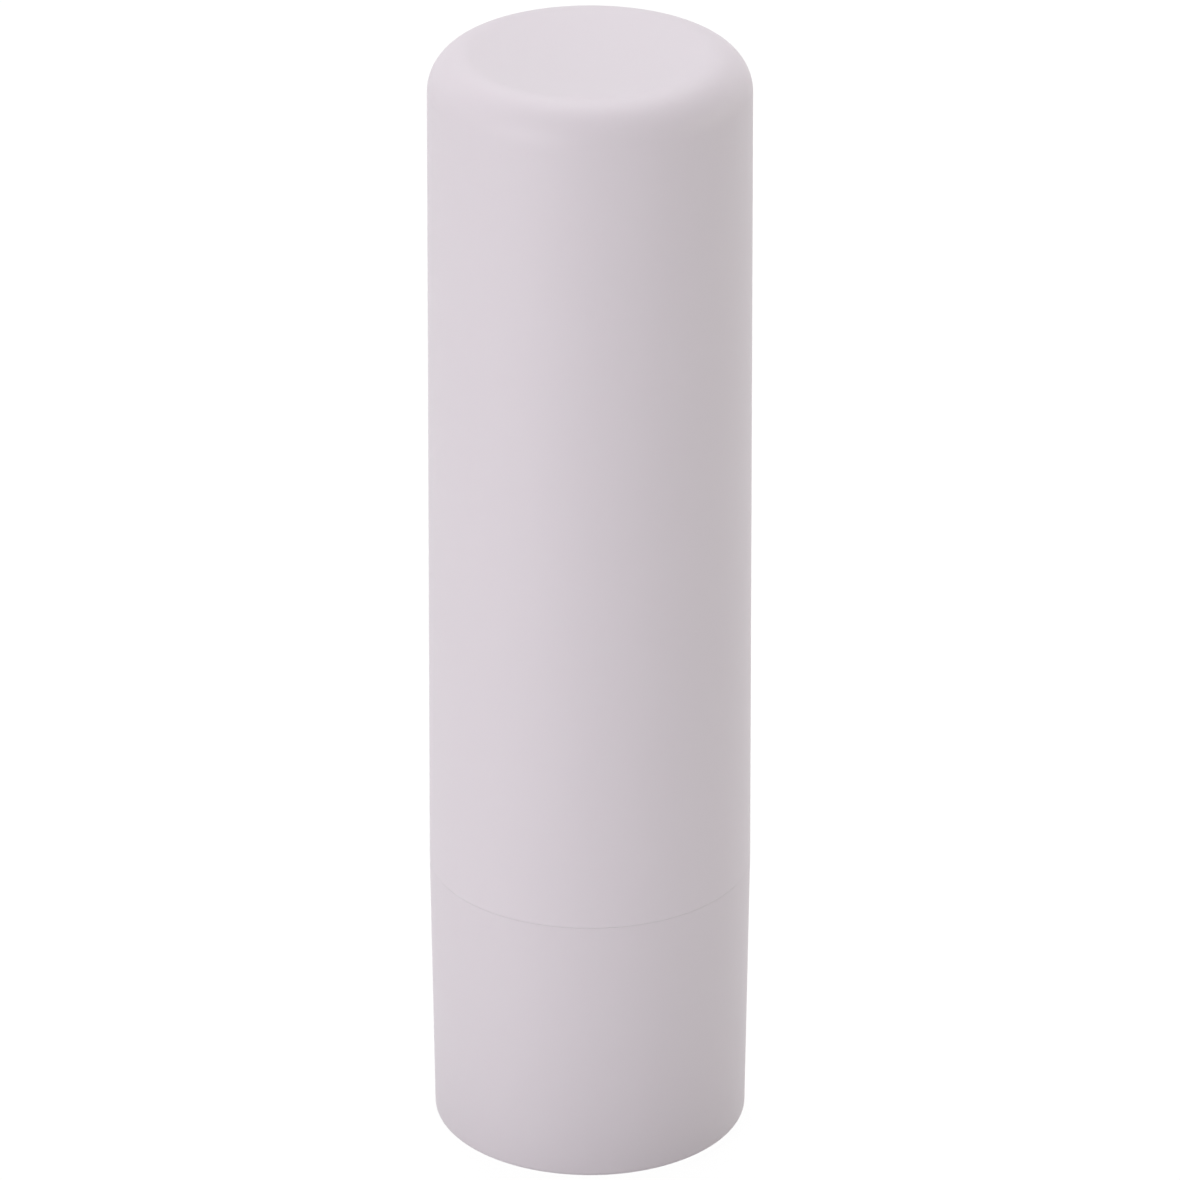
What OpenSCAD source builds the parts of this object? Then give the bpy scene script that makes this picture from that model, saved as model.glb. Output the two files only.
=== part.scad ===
// Twist-up lip balm stick: a smooth cap on a smooth turning base, with the balm on a screw inside.
// Millimetres, +Z up, origin on the floor under the middle of the base.

/* [Overall] */
// Height of the closed stick
overall_height = 68; // [64:0.5:76]
// Height of the turning base, up to the seam under the cap
base_height = 16.8; // [15.5:0.1:20]
// Diameter of cap and base at the seam
seam_diameter = 19.1; // [18.6:0.1:21]
// Diameter of the base at the floor
foot_diameter = 18.7; // [18:0.1:20]
// Diameter of the cap where the rounding of its end begins
cap_end_diameter = 18.56; // [18.2:0.02:20]

/* [Cap] */
// Wall of the cap
cap_wall = 1.2; // [0.9:0.05:1.4]
// Thickness of the cap's closed end at its middle
cap_end_thickness = 1.25; // [1:0.05:2]
// Radius of the outer rounding at the cap's closed end
cap_end_radius = 2.36; // [1:0.02:3]
// Depth of the shallow dish in the cap's end
dish_depth = 0.35; // [0.1:0.05:0.8]
// Open line between the cap and the base
seam_gap = 0.02; // [0.02:0.01:0.4]
// Number of grip ribs inside the cap's mouth
grip_rib_count = 8; // [4:1:12]
// How far a grip rib stands off the cap's wall
grip_rib_height = 0.3; // [0.15:0.05:0.4]
// Width of a grip rib
grip_rib_width = 0.8; // [0.5:0.1:1.5]
// Length of a grip rib
grip_rib_length = 12; // [6:0.5:20]

/* [Tube] */
// Wall of the tube at its rim
tube_rim_wall = 0.75; // [0.5:0.05:0.9]
// Space between the tube and the cap's wall
cap_gap = 0.55; // [0.45:0.05:0.8]
// How far the tube's rim lies under the cap's end
rim_depth = 5.5; // [5:0.1:9]
// Thickness of the collar that carries the cap
collar_thickness = 1.7; // [1.2:0.1:2.5]
// Width of the ledge that the cap stands on
collar_ledge = 0.5; // [0.3:0.05:0.6]
// Wall of the skirt that snaps into the base
skirt_wall = 0.85; // [0.6:0.05:0.9]
// Number of guide ribs inside the tube
guide_rib_count = 4; // [2:1:6]
// How far a guide rib stands into the tube
guide_rib_height = 0.45; // [0.3:0.05:0.5]
// Width of a guide rib
guide_rib_width = 0.9; // [0.6:0.1:1.4]

/* [Turning base] */
// Wall of the base
base_wall = 1.2; // [0.9:0.05:1.3]
// Floor of the base over the recess under it
base_floor = 1.6; // [1.2:0.1:2.5]
// Depth of the recess under the base
foot_recess = 0.4; // [0.2:0.05:0.8]
// Width of the ring that the stick stands on
foot_ring_width = 1.8; // [1:0.1:3]
// Radius of the outer edge at the floor
foot_edge_radius = 0.25; // [0.1:0.05:0.6]
// Height of the socket that holds the screw, over the base's floor
socket_height = 7; // [6:0.1:8]
// Wall of the socket
socket_wall = 1.1; // [0.8:0.1:1.5]
// Number of gussets round the socket
gusset_count = 6; // [3:1:8]
// Height of a gusset
gusset_height = 2.6; // [1.5:0.1:3.5]
// Thickness of a gusset
gusset_thickness = 0.8; // [0.6:0.1:1.2]
// Height of the snap bead's middle over the base's floor
snap_height = 6.6; // [6:0.1:7.5]
// How far the tube's barb reaches under the base's bead
snap_undercut = 0.2; // [0.1:0.05:0.25]

/* [Screw] */
// Diameter over the screw's thread
thread_diameter = 5; // [4.4:0.1:5.6]
// Diameter at the root of the thread
thread_root_diameter = 3.8; // [3.2:0.1:4]
// Rise of the carrier in one turn of the base
thread_lead = 6; // [4:0.5:8]
// Width of the thread's crest along the screw
thread_crest = 0.7; // [0.4:0.05:1]
// Width of each sloping side of the thread along the screw
thread_flank = 0.35; // [0.2:0.05:0.5]
// Width across the two moulding flats on the thread
thread_flats = 4.3; // [4.2:0.1:5.6]
// Width across the flats of the six-sided shank in the base
shank_across_flats = 5.2; // [4.4:0.1:5.6]
// Diameter of the flange on top of the socket
flange_diameter = 10.8; // [8.5:0.1:11]
// Thickness of the flange
flange_thickness = 1.2; // [0.8:0.1:1.6]
// Height of the ring that stops the carrier at the top
stop_height = 1.2; // [0.8:0.1:1.6]

/* [Carrier] */
// Height of the carrier's cup
cup_height = 7.4; // [7:0.1:10]
// Wall of the cup
cup_wall = 0.95; // [0.85:0.05:1.2]
// Floor of the cup
cup_floor = 1.2; // [0.8:0.1:2]
// Wall of the hub round the screw
hub_wall = 1.1; // [0.8:0.1:1.3]
// Height of the hub
hub_height = 6.5; // [5:0.1:6.8]
// Number of webs between hub and cup
web_count = 4; // [2:1:6]
// Thickness of a web
web_thickness = 0.8; // [0.6:0.1:1.2]
// Height of a web over the cup's floor
web_height = 3.6; // [2:0.1:4.5]
// How far under the tube's rim the cup's edge stops at full travel
cup_end_depth = 2.5; // [2:0.1:6]

/* [Balm] */
// Height of the balm's domed tip
dome_height = 2.4; // [1.5:0.1:2.8]
// How far under the tube's rim the dome begins
dome_depth = 0.4; // [0:0.1:2]

/* [Clearances] */
// Radial clearance of the turning and snapped pieces
running_gap = 0.1; // [0.05:0.01:0.14]
// Play along the axis between the base and the tube
end_play = 0.05; // [0.02:0.01:0.12]
// Radial clearance of the tube's bead under the cap's grip ribs
grip_gap = 0.03; // [0.01:0.01:0.1]
// Radial clearance of the carrier in the tube
cup_gap = 0.15; // [0.1:0.01:0.2]
// Clearance round a guide rib in the carrier's notch
notch_gap = 0.12; // [0.08:0.01:0.15]
// Clearance between the balm and what slides past it
wax_gap = 0.05; // [0.03:0.01:0.1]
// Radial clearance of the screw in the carrier and the balm
thread_play = 0.2; // [0.15:0.01:0.3]
// Rise of the carrier's floor over the flange when the balm is wound in
rest_gap = 0.4; // [0.2:0.1:1]

/* [Hidden] */
$fn = 96;

shell_color = [0.91, 0.885, 0.91];
inner_color = [0.94, 0.94, 0.93];
balm_color = [0.96, 0.92, 0.80];

arc_steps = 8;
wide_arc_steps = 16;
cut_margin = 0.5;

// Outer profile of the base and the cap
seam_r = seam_diameter / 2;
foot_r = foot_diameter / 2;
cap_end_r = cap_end_diameter / 2;
cap_mouth_z = base_height + seam_gap;
cap_rounding_z = overall_height - cap_end_radius;
cap_slope = (seam_r - cap_end_r) / (cap_rounding_z - cap_mouth_z);
cap_draft = atan(cap_slope);
base_slope = (seam_r - foot_r) / base_height;
seam_edge_radius = 0.03;
edge_radius = 0.2;
fine_edge_radius = 0.1;

function cap_outer_r(z) = seam_r - cap_slope * (z - cap_mouth_z);
function cap_inner_r(z) = cap_outer_r(z) - cap_wall;
function base_outer_r(z) = foot_r + base_slope * z;
function base_inner_r(z) = base_outer_r(z) - base_wall;

// The cap's end: a rounding that runs into a shallow dish with one common tangent
rounding_r = cap_outer_r(cap_rounding_z) - cap_end_radius / cos(cap_draft);
dish_reach = (pow(rounding_r, 2) + pow(dish_depth, 2)) / (2 * dish_depth);
dish_radius = dish_reach - cap_end_radius;
dish_angle = asin(rounding_r / dish_reach);
dish_centre_z = overall_height - dish_depth + dish_radius;
ceiling_z = overall_height - dish_depth - cap_end_thickness;
ceiling_rounding = 1.2;
mouth_chamfer = 0.15;

// The cap's grip ribs and the bead that they hold
grip_rib_inset = 0.7;
grip_rib_start = cap_mouth_z + grip_rib_inset;
grip_rib_lead = 0.6;
bead_inset = 3.9;
bead_z = cap_mouth_z + bead_inset;
bead_half_height = 0.55;
bead_flat = 0.15;
bead_r = cap_inner_r(bead_z) - grip_rib_height - grip_gap;

// The tube
rim_z = overall_height - rim_depth;
bore_r = cap_inner_r(rim_z) - cap_gap - tube_rim_wall;
collar_r = cap_inner_r(cap_mouth_z) + collar_ledge;
collar_z = cap_mouth_z - collar_thickness;
skirt_r = bore_r + skirt_wall;
rim_edge_radius = 0.3;
skirt_lead = 0.6;
guide_rib_rim_inset = 2;
guide_rib_foot = 1;

function tube_outer_r(z) = cap_inner_r(z) - cap_gap;

// The base and the snap between base and tube
floor_z = foot_recess + base_floor;
recess_r = foot_r - foot_ring_width;
collar_seat_z = collar_z - end_play;
collar_seat_r = collar_r + running_gap;
snap_r = skirt_r + running_gap;
snap_z = floor_z + snap_height;
snap_half_height = 0.5;
snap_flat = 0.2;
barb_r = snap_r + snap_undercut;
barb_top_z = snap_z - snap_half_height - end_play;
barb_height = 1.1;
skirt_end_z = barb_top_z - barb_height - skirt_lead;
socket_top_z = floor_z + socket_height;
socket_r = shank_across_flats / 2 / cos(30) + socket_wall;
floor_rounding = 0.6;
gate_r = 0.7;
gate_height = 0.15;

// The screw
crest_r = thread_diameter / 2;
root_r = thread_root_diameter / 2;
thread_starts = 2;
start_angle = 360 / thread_starts;
steps_per_turn = 18;
crest_steps = 4;
root_steps = 4;
thread_side_play = 0.15;
flange_r = flange_diameter / 2;
flange_top_z = socket_top_z + flange_thickness;
shank_chamfer = 0.5;
stop_play = 0.08;
stop_r = crest_r + thread_play - stop_play;
stop_gap = 0.5;
tip_height = 0.6;
tip_r = root_r;

// The carrier, wound in, and how far it rises
cup_r = bore_r - cup_gap;
cup_z = flange_top_z + rest_gap;
cup_top_z = cup_z + cup_height;
hub_top_z = cup_z + hub_height;
hub_r = crest_r + thread_play + hub_wall;
travel = rim_z - cup_end_depth - cup_top_z;
notch_depth = guide_rib_height - cup_gap + notch_gap;
cup_floor_radius = 0.3;
stop_z = hub_top_z + travel + stop_gap;
tip_z = stop_z + stop_height + tip_height;
guide_rib_top_z = rim_z - guide_rib_rim_inset;
guide_rib_start_z = flange_top_z - guide_rib_foot;

// The balm
balm_r = bore_r - wax_gap;
dome_z = rim_z - dome_depth;
dome_edge_radius = 0.5;
balm_bore_r = stop_r + thread_play;
balm_bore_end_gap = 0.5;
balm_bore_top_z = tip_z + balm_bore_end_gap;

function unit(v) = v / norm(v);
function shortest_turn(a) = a > 180 ? a - 360 : (a < -180 ? a + 360 : a);
function on_circle(centre, radius, angle) = centre + radius * [cos(angle), sin(angle)];
function arc(centre, radius, from, to, steps) =
    [for (i = [0:steps]) on_circle(centre, radius, from + (to - from) * i / steps)];

// The arc that rounds corner b of the outline a, b, c
function rounded_corner(a, b, c, radius) =
    radius == 0 ? [b] :
    let (
        to_a = unit(a - b),
        to_c = unit(c - b),
        half = acos(to_a * to_c) / 2,
        reach = radius / tan(half),
        centre = b + unit(to_a + to_c) * radius / sin(half),
        first = b + to_a * reach - centre,
        last = b + to_c * reach - centre,
        from = atan2(first[1], first[0]),
        turn = shortest_turn(atan2(last[1], last[0]) - from)
    )
    arc(centre, radius, from, from + turn, arc_steps);

function place(corner) = [corner[0], corner[1]];

// An outline from corners that are each [radius from the axis, height, rounding]
function rounded_outline(corners) =
    let (n = len(corners))
    [for (i = [0:n - 1])
        each rounded_corner(
            place(corners[(i + n - 1) % n]),
            place(corners[i]),
            place(corners[(i + 1) % n]),
            corners[i][2])];

module turned(outline) {
    rotate_extrude() polygon(outline);
}

// Copies set round the axis, the first of them at the angle given
module around(count, first = 0) {
    for (i = [0:count - 1]) rotate([0, 0, first + 360 * i / count]) children();
}

// A flat bar that runs out along +X, between two radii and two heights
module bar(r_from, r_to, z_from, z_to, width) {
    translate([r_from, -width / 2, z_from]) cube([r_to - r_from, width, z_to - z_from]);
}

// The thread's section: [angle, radius] for each helical line, grown for the hole that it runs in
function thread_section(grow, spread) =
    let (
        crest = 360 * thread_crest / thread_lead / 2 + spread,
        flank = crest + 360 * thread_flank / thread_lead,
        root = start_angle - 2 * flank
    )
    [for (s = [0:thread_starts - 1])
        each concat(
            [for (i = [0:crest_steps])
                [s * start_angle + crest * (2 * i / crest_steps - 1), crest_r + grow]],
            [for (i = [0:root_steps])
                [s * start_angle + flank + root * i / root_steps, root_r + grow]])];

// The radius at an angle, cut back to the two moulding flats
function flattened(r, angle, half_width) =
    let (reach = abs(sin(angle)))
    r * reach > half_width ? half_width / reach : r;

// A right-handed threaded rod between two heights, cut back to two flats at half_width
module threaded_rod(z_from, z_to, half_width, grow = 0, spread = 0) {
    section = thread_section(grow, spread);
    n = len(section);
    rings = ceil((z_to - z_from) / thread_lead * steps_per_turn);
    heights = [for (i = [0:rings]) z_from + (z_to - z_from) * i / rings];
    points = [for (z = heights, p = section)
        let (
            angle = p[0] + 360 * z / thread_lead,
            r = flattened(p[1], angle, half_width)
        )
        [r * cos(angle), r * sin(angle), z]];
    sides = [for (i = [0:rings - 1], k = [0:n - 1])
        let (
            a = i * n + k,
            b = i * n + (k + 1) % n
        )
        each [[a, a + n, b], [b, a + n, b + n]]];
    ends = concat(
        [for (k = [1:n - 2]) [0, k, k + 1]],
        [for (k = [1:n - 2]) [rings * n, rings * n + k + 1, rings * n + k]]);
    polyhedron(points, concat(sides, ends));
}

// Closed end up, standing on the tube's collar
module cap() {
    outside = concat(
        [[seam_r, cap_mouth_z]],
        arc([rounding_r, cap_rounding_z], cap_end_radius, cap_draft, 90 + dish_angle, wide_arc_steps),
        arc([0, dish_centre_z], dish_radius, dish_angle - 90, -90, arc_steps));
    ceiling_r = cap_inner_r(ceiling_z);
    inside = concat(
        [[0, ceiling_z]],
        rounded_corner([0, ceiling_z], [ceiling_r, ceiling_z],
            [cap_inner_r(cap_mouth_z), cap_mouth_z], ceiling_rounding),
        [[cap_inner_r(cap_mouth_z), cap_mouth_z + mouth_chamfer]],
        [[cap_inner_r(cap_mouth_z) + mouth_chamfer, cap_mouth_z]]);
    color(shell_color) {
        turned(concat(outside, inside));
        around(grip_rib_count) grip_rib();
    }
}

// One grip rib: it follows the draft of the cap's wall and tapers at both ends
module grip_rib() {
    top = grip_rib_start + grip_rib_length;
    sunk = cap_wall / 2;
    outline = [
        [cap_inner_r(grip_rib_start) + sunk, grip_rib_start],
        [cap_inner_r(grip_rib_start), grip_rib_start],
        [cap_inner_r(grip_rib_start) - grip_rib_height, grip_rib_start + grip_rib_lead],
        [cap_inner_r(top) - grip_rib_height, top - grip_rib_lead],
        [cap_inner_r(top), top],
        [cap_inner_r(top) + sunk, top]];
    rotate([90, 0, 0]) translate([0, 0, -grip_rib_width / 2])
        linear_extrude(grip_rib_width) polygon(outline);
}

// The body of the stick: its collar carries the cap and its skirt snaps into the base
module tube() {
    bead_low = bead_z - bead_half_height;
    bead_high = bead_z + bead_half_height;
    corners = [
        [bore_r, skirt_end_z, 0],
        [skirt_r - running_gap, skirt_end_z, 0],
        [barb_r, skirt_end_z + skirt_lead, 0],
        [barb_r, barb_top_z, 0],
        [skirt_r, barb_top_z, 0],
        [skirt_r, collar_z, edge_radius],
        [collar_r, collar_z, fine_edge_radius],
        [collar_r, cap_mouth_z, fine_edge_radius],
        [tube_outer_r(cap_mouth_z), cap_mouth_z, edge_radius],
        [tube_outer_r(bead_low), bead_low, fine_edge_radius],
        [bead_r, bead_z - bead_flat, fine_edge_radius],
        [bead_r, bead_z + bead_flat, fine_edge_radius],
        [tube_outer_r(bead_high), bead_high, fine_edge_radius],
        [tube_outer_r(rim_z), rim_z, rim_edge_radius],
        [bore_r, rim_z, rim_edge_radius]];
    color(inner_color) {
        turned(rounded_outline(corners));
        around(guide_rib_count, 180 / guide_rib_count) guide_rib();
    }
}

// One guide rib: it keeps the carrier from turning with the screw
module guide_rib() {
    inner = bore_r - guide_rib_height;
    outer = bore_r + tube_rim_wall / 2;
    outline = [
        [outer, guide_rib_start_z],
        [bore_r, guide_rib_start_z],
        [inner, guide_rib_start_z + guide_rib_height],
        [inner, guide_rib_top_z - guide_rib_height],
        [bore_r, guide_rib_top_z],
        [outer, guide_rib_top_z]];
    rotate([90, 0, 0]) translate([0, 0, -guide_rib_width / 2])
        linear_extrude(guide_rib_width) polygon(outline);
}

// The part that is turned: it stands on a ring and holds the screw in a six-sided socket
module turning_base() {
    snap_low = snap_z - snap_half_height;
    snap_high = snap_z + snap_half_height;
    corners = [
        [0, foot_recess, 0],
        [recess_r, foot_recess, foot_recess / 2],
        [recess_r + foot_recess / 2, 0, foot_recess / 4],
        [foot_r, 0, foot_edge_radius],
        [seam_r, base_height, seam_edge_radius],
        [collar_seat_r, base_height, seam_edge_radius],
        [collar_seat_r, collar_seat_z, 0],
        [base_inner_r(collar_seat_z), collar_seat_z, fine_edge_radius],
        [base_inner_r(snap_high), snap_high, 0],
        [snap_r, snap_z + snap_flat, 0],
        [snap_r, snap_z - snap_flat, 0],
        [base_inner_r(snap_low), snap_low, 0],
        [base_inner_r(floor_z), floor_z, floor_rounding],
        [0, floor_z, 0]];
    color(shell_color) {
        turned(rounded_outline(corners));
        translate([0, 0, foot_recess - gate_height]) cylinder(r = gate_r, h = base_floor);
        difference() {
            translate([0, 0, floor_z - cut_margin])
                cylinder(r = socket_r, h = socket_height + cut_margin);
            translate([0, 0, floor_z])
                cylinder(r = shank_across_flats / 2 / cos(30), h = socket_height + cut_margin, $fn = 6);
        }
        around(gusset_count)
            bar(socket_r - socket_wall / 4, base_inner_r(floor_z) + base_wall / 2,
                floor_z - cut_margin, floor_z + gusset_height, gusset_thickness);
    }
}

// The screw: a shank pressed into the base, a flange, and a two-start thread up to a stop ring
module screw() {
    corner_r = shank_across_flats / 2 / cos(30);
    color(inner_color) {
        intersection() {
            translate([0, 0, floor_z]) cylinder(r = corner_r, h = socket_height, $fn = 6);
            turned([
                [0, floor_z],
                [corner_r - shank_chamfer, floor_z],
                [corner_r + cut_margin, floor_z + shank_chamfer + cut_margin],
                [corner_r + cut_margin, socket_top_z + cut_margin],
                [0, socket_top_z + cut_margin]]);
        }
        turned(rounded_outline([
            [0, socket_top_z, 0],
            [flange_r, socket_top_z, edge_radius],
            [flange_r, flange_top_z, edge_radius],
            [0, flange_top_z, 0]]));
        threaded_rod(flange_top_z - flange_thickness / 2, stop_z + stop_height / 2, thread_flats / 2);
        turned([
            [0, stop_z],
            [stop_r, stop_z],
            [stop_r, stop_z + stop_height],
            [tip_r, tip_z],
            [0, tip_z]]);
    }
}

// The carrier without its thread and notches: a cup, a hub and the webs between them
module cup_body() {
    inner_r = cup_r - cup_wall;
    turned(rounded_outline([
        [hub_r - hub_wall / 2, cup_z, 0],
        [cup_r, cup_z, cup_floor_radius],
        [cup_r, cup_top_z, edge_radius],
        [inner_r, cup_top_z, edge_radius],
        [inner_r, cup_z + cup_floor, cup_floor_radius],
        [hub_r - hub_wall / 2, cup_z + cup_floor, 0]]));
    translate([0, 0, cup_z]) cylinder(r = hub_r, h = hub_height);
    around(web_count)
        bar(hub_r - hub_wall / 2, cup_r - cup_wall / 2,
            cup_z + cup_floor / 2, cup_z + cup_floor + web_height, web_thickness);
}

// The carrier: the screw drives its threaded hub up the tube, and its notches keep it from turning
module carrier() {
    thread_spread = 360 * thread_side_play / thread_lead;
    color(inner_color) difference() {
        cup_body();
        threaded_rod(cup_z - cut_margin, hub_top_z + cut_margin,
            crest_r + thread_play, thread_play, thread_spread);
        around(guide_rib_count, 180 / guide_rib_count)
            bar(cup_r - notch_depth, cup_r + cut_margin,
                cup_z - cut_margin, cup_top_z + cut_margin, guide_rib_width + 2 * notch_gap);
    }
}

// The balm as it is cast: it takes the shape of the cup, and has a groove for each guide rib
module balm() {
    cast_r = cup_r - cup_wall / 2;
    dome_radius = (pow(balm_r, 2) + pow(dome_height, 2)) / (2 * dome_height);
    dome_angle = asin(balm_r / dome_radius);
    dome_centre = [0, dome_z + dome_height - dome_radius];
    dome = arc(dome_centre, dome_radius, 90 - dome_angle, 90, wide_arc_steps);
    outline = concat(
        [[0, cup_z + cup_floor], [cast_r, cup_z + cup_floor]],
        [[cast_r, cup_top_z], [balm_r, cup_top_z]],
        rounded_corner([balm_r, cup_top_z], dome[0], dome[1], dome_edge_radius),
        [for (i = [1:wide_arc_steps]) dome[i]]);
    color(balm_color) difference() {
        turned(outline);
        cup_body();
        translate([0, 0, cup_z]) cylinder(r = balm_bore_r, h = balm_bore_top_z - cup_z);
        around(guide_rib_count, 180 / guide_rib_count)
            bar(bore_r - guide_rib_height - wax_gap, bore_r + cut_margin,
                cup_top_z - cut_margin, guide_rib_top_z + wax_gap,
                guide_rib_width + 2 * wax_gap);
    }
}

cap();
tube();
turning_base();
screw();
carrier();
balm();
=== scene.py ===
"""Looks of a twist-up lip balm stick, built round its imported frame. Metres, +Z up."""

import math

import bmesh
import bpy
from bpy.props import FloatProperty, FloatVectorProperty, IntProperty, PointerProperty
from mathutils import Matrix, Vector


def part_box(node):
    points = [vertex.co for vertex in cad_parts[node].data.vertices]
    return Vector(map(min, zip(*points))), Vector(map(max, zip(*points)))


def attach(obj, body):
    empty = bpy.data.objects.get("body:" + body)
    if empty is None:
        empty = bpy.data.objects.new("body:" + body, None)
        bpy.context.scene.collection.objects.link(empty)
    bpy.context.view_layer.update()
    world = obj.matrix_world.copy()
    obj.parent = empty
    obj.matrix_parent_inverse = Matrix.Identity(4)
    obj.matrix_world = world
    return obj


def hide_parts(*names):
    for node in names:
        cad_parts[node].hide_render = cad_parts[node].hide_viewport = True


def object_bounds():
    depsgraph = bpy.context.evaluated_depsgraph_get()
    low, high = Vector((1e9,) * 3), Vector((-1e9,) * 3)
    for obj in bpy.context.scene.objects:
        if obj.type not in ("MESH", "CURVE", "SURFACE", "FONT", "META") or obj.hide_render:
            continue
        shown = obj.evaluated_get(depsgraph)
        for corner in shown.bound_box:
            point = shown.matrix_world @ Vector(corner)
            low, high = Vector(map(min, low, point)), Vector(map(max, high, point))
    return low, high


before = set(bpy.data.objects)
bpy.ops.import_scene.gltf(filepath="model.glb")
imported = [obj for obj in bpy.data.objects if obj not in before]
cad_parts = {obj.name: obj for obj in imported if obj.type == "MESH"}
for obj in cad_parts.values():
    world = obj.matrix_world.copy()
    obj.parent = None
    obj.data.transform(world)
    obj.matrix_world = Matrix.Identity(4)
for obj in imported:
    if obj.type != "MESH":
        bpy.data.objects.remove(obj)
cad_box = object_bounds()

bl_info = {
    "name": "Twist-up lip balm stick",
    "version": (1, 0, 0),
    "blender": (4, 5, 0),
    "location": "3D Viewport > Sidebar > Balm Stick",
    "description": "Builds a smooth twist-up lip balm stick with its mechanism, materials and studio",
    "category": "Add Mesh",
}

MM = 0.001
# Slack when a point is matched to a wall, and the reach in which two points are one
NEAR = 0.001 * MM
ONE_POINT = 0.0001 * MM
WHITE = (1, 1, 1)
# From the stick to the floor's edge, in metres, and the corners of that edge
FLOOR_REACH = 4
FLOOR_SIDES = 64


# Properties that a user would change

def length(name, description, millimetres):
    """A length in metres, from its default in millimetres."""
    return FloatProperty(
        name=name, description=description, default=millimetres * MM, min=0,
        precision=5, unit="LENGTH", subtype="DISTANCE")


def colour(name, description, default):
    """A linear RGB colour."""
    return FloatVectorProperty(
        name=name, description=description, default=default, min=0, max=1, size=3, subtype="COLOR")


def share(name, description, default):
    """A number from 0 to 1."""
    return FloatProperty(
        name=name, description=description, default=default, min=0, max=1, subtype="FACTOR")


def power(name, description, default):
    """The power of a lamp in watts."""
    return FloatProperty(name=name, description=description, default=default, min=0, unit="POWER")


class StickOuterSizes(bpy.types.PropertyGroup):
    """Sizes of the cap and the turning base."""

    cap_end_diameter: length("Cap end", "Diameter of the cap where its end begins to round", 18.56)
    cap_wall: length("Cap wall", "Wall of the cap", 1.2)
    cap_end_thickness: length("Cap end thickness", "Plastic in the middle of the cap's end", 1.25)
    cap_end_radius: length("Cap end radius", "Outer rounding of the cap's end", 2.36)
    dish_depth: length("Dish depth", "Depth of the shallow dish in the cap's end", 0.35)
    ceiling_radius: length("Ceiling radius", "Rounding inside the cap's end", 1.2)
    mouth_chamfer: length("Mouth chamfer", "Chamfer inside the cap's mouth", 0.15)
    grip_rib_inset: length("Grip rib inset", "From the cap's mouth to its grip ribs", 0.7)
    grip_rib_length: length("Grip rib length", "Length of a grip rib", 12)
    grip_rib_height: length("Grip rib height", "How far a grip rib stands off the wall", 0.3)
    grip_rib_width: length("Grip rib width", "Width of a grip rib", 0.8)
    grip_rib_lead: length("Grip rib lead", "Length of the slope at each end of a grip rib", 0.6)
    grip_rib_count: IntProperty(
        name="Grip ribs", description="Number of grip ribs in the cap", default=8, min=3, max=16)
    foot_diameter: length("Foot diameter", "Diameter of the base at the floor", 18.7)
    foot_radius: length("Foot radius", "Rounding of the base's lower edge", 0.25)
    foot_recess: length("Foot recess", "Depth of the recess under the base", 0.4)
    foot_ring_width: length("Foot ring", "Width of the ring that the stick stands on", 1.8)
    gate_radius: length("Gate radius", "Radius of the moulding gate's stub", 0.7)
    gate_height: length("Gate height", "Height of the moulding gate's stub", 0.15)
    base_wall: length("Base wall", "Wall of the base", 1.2)
    base_floor: length("Base floor", "Plastic over the recess", 1.6)
    floor_rounding: length("Floor rounding", "Rounding round the base's floor, inside", 0.6)
    socket_height: length("Socket height", "Height of the screw's socket over the floor", 7)
    socket_wall: length("Socket wall", "Wall of the socket", 1.1)
    shank_flats: length("Shank flats", "Width across the flats of the socket", 5.2)
    gusset_height: length("Gusset height", "Height of a gusset", 2.6)
    gusset_width: length("Gusset width", "Thickness of a gusset", 0.8)
    gusset_count: IntProperty(
        name="Gussets", description="Number of gussets in the base", default=6, min=3, max=12)
    snap_height: length("Snap height", "Middle of the snap bead over the floor", 6.6)
    snap_foot: length("Snap foot", "Height of the snap bead where it leaves the wall", 1)
    snap_crest: length("Snap crest", "Height of the snap bead's flat crest", 0.4)
    seam_line: length("Seam line", "Open line that is left where the cap meets the base", 0.007)
    seam_edge: length("Seam edge", "Rounding of the edges at the seam", 0.012)


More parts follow.
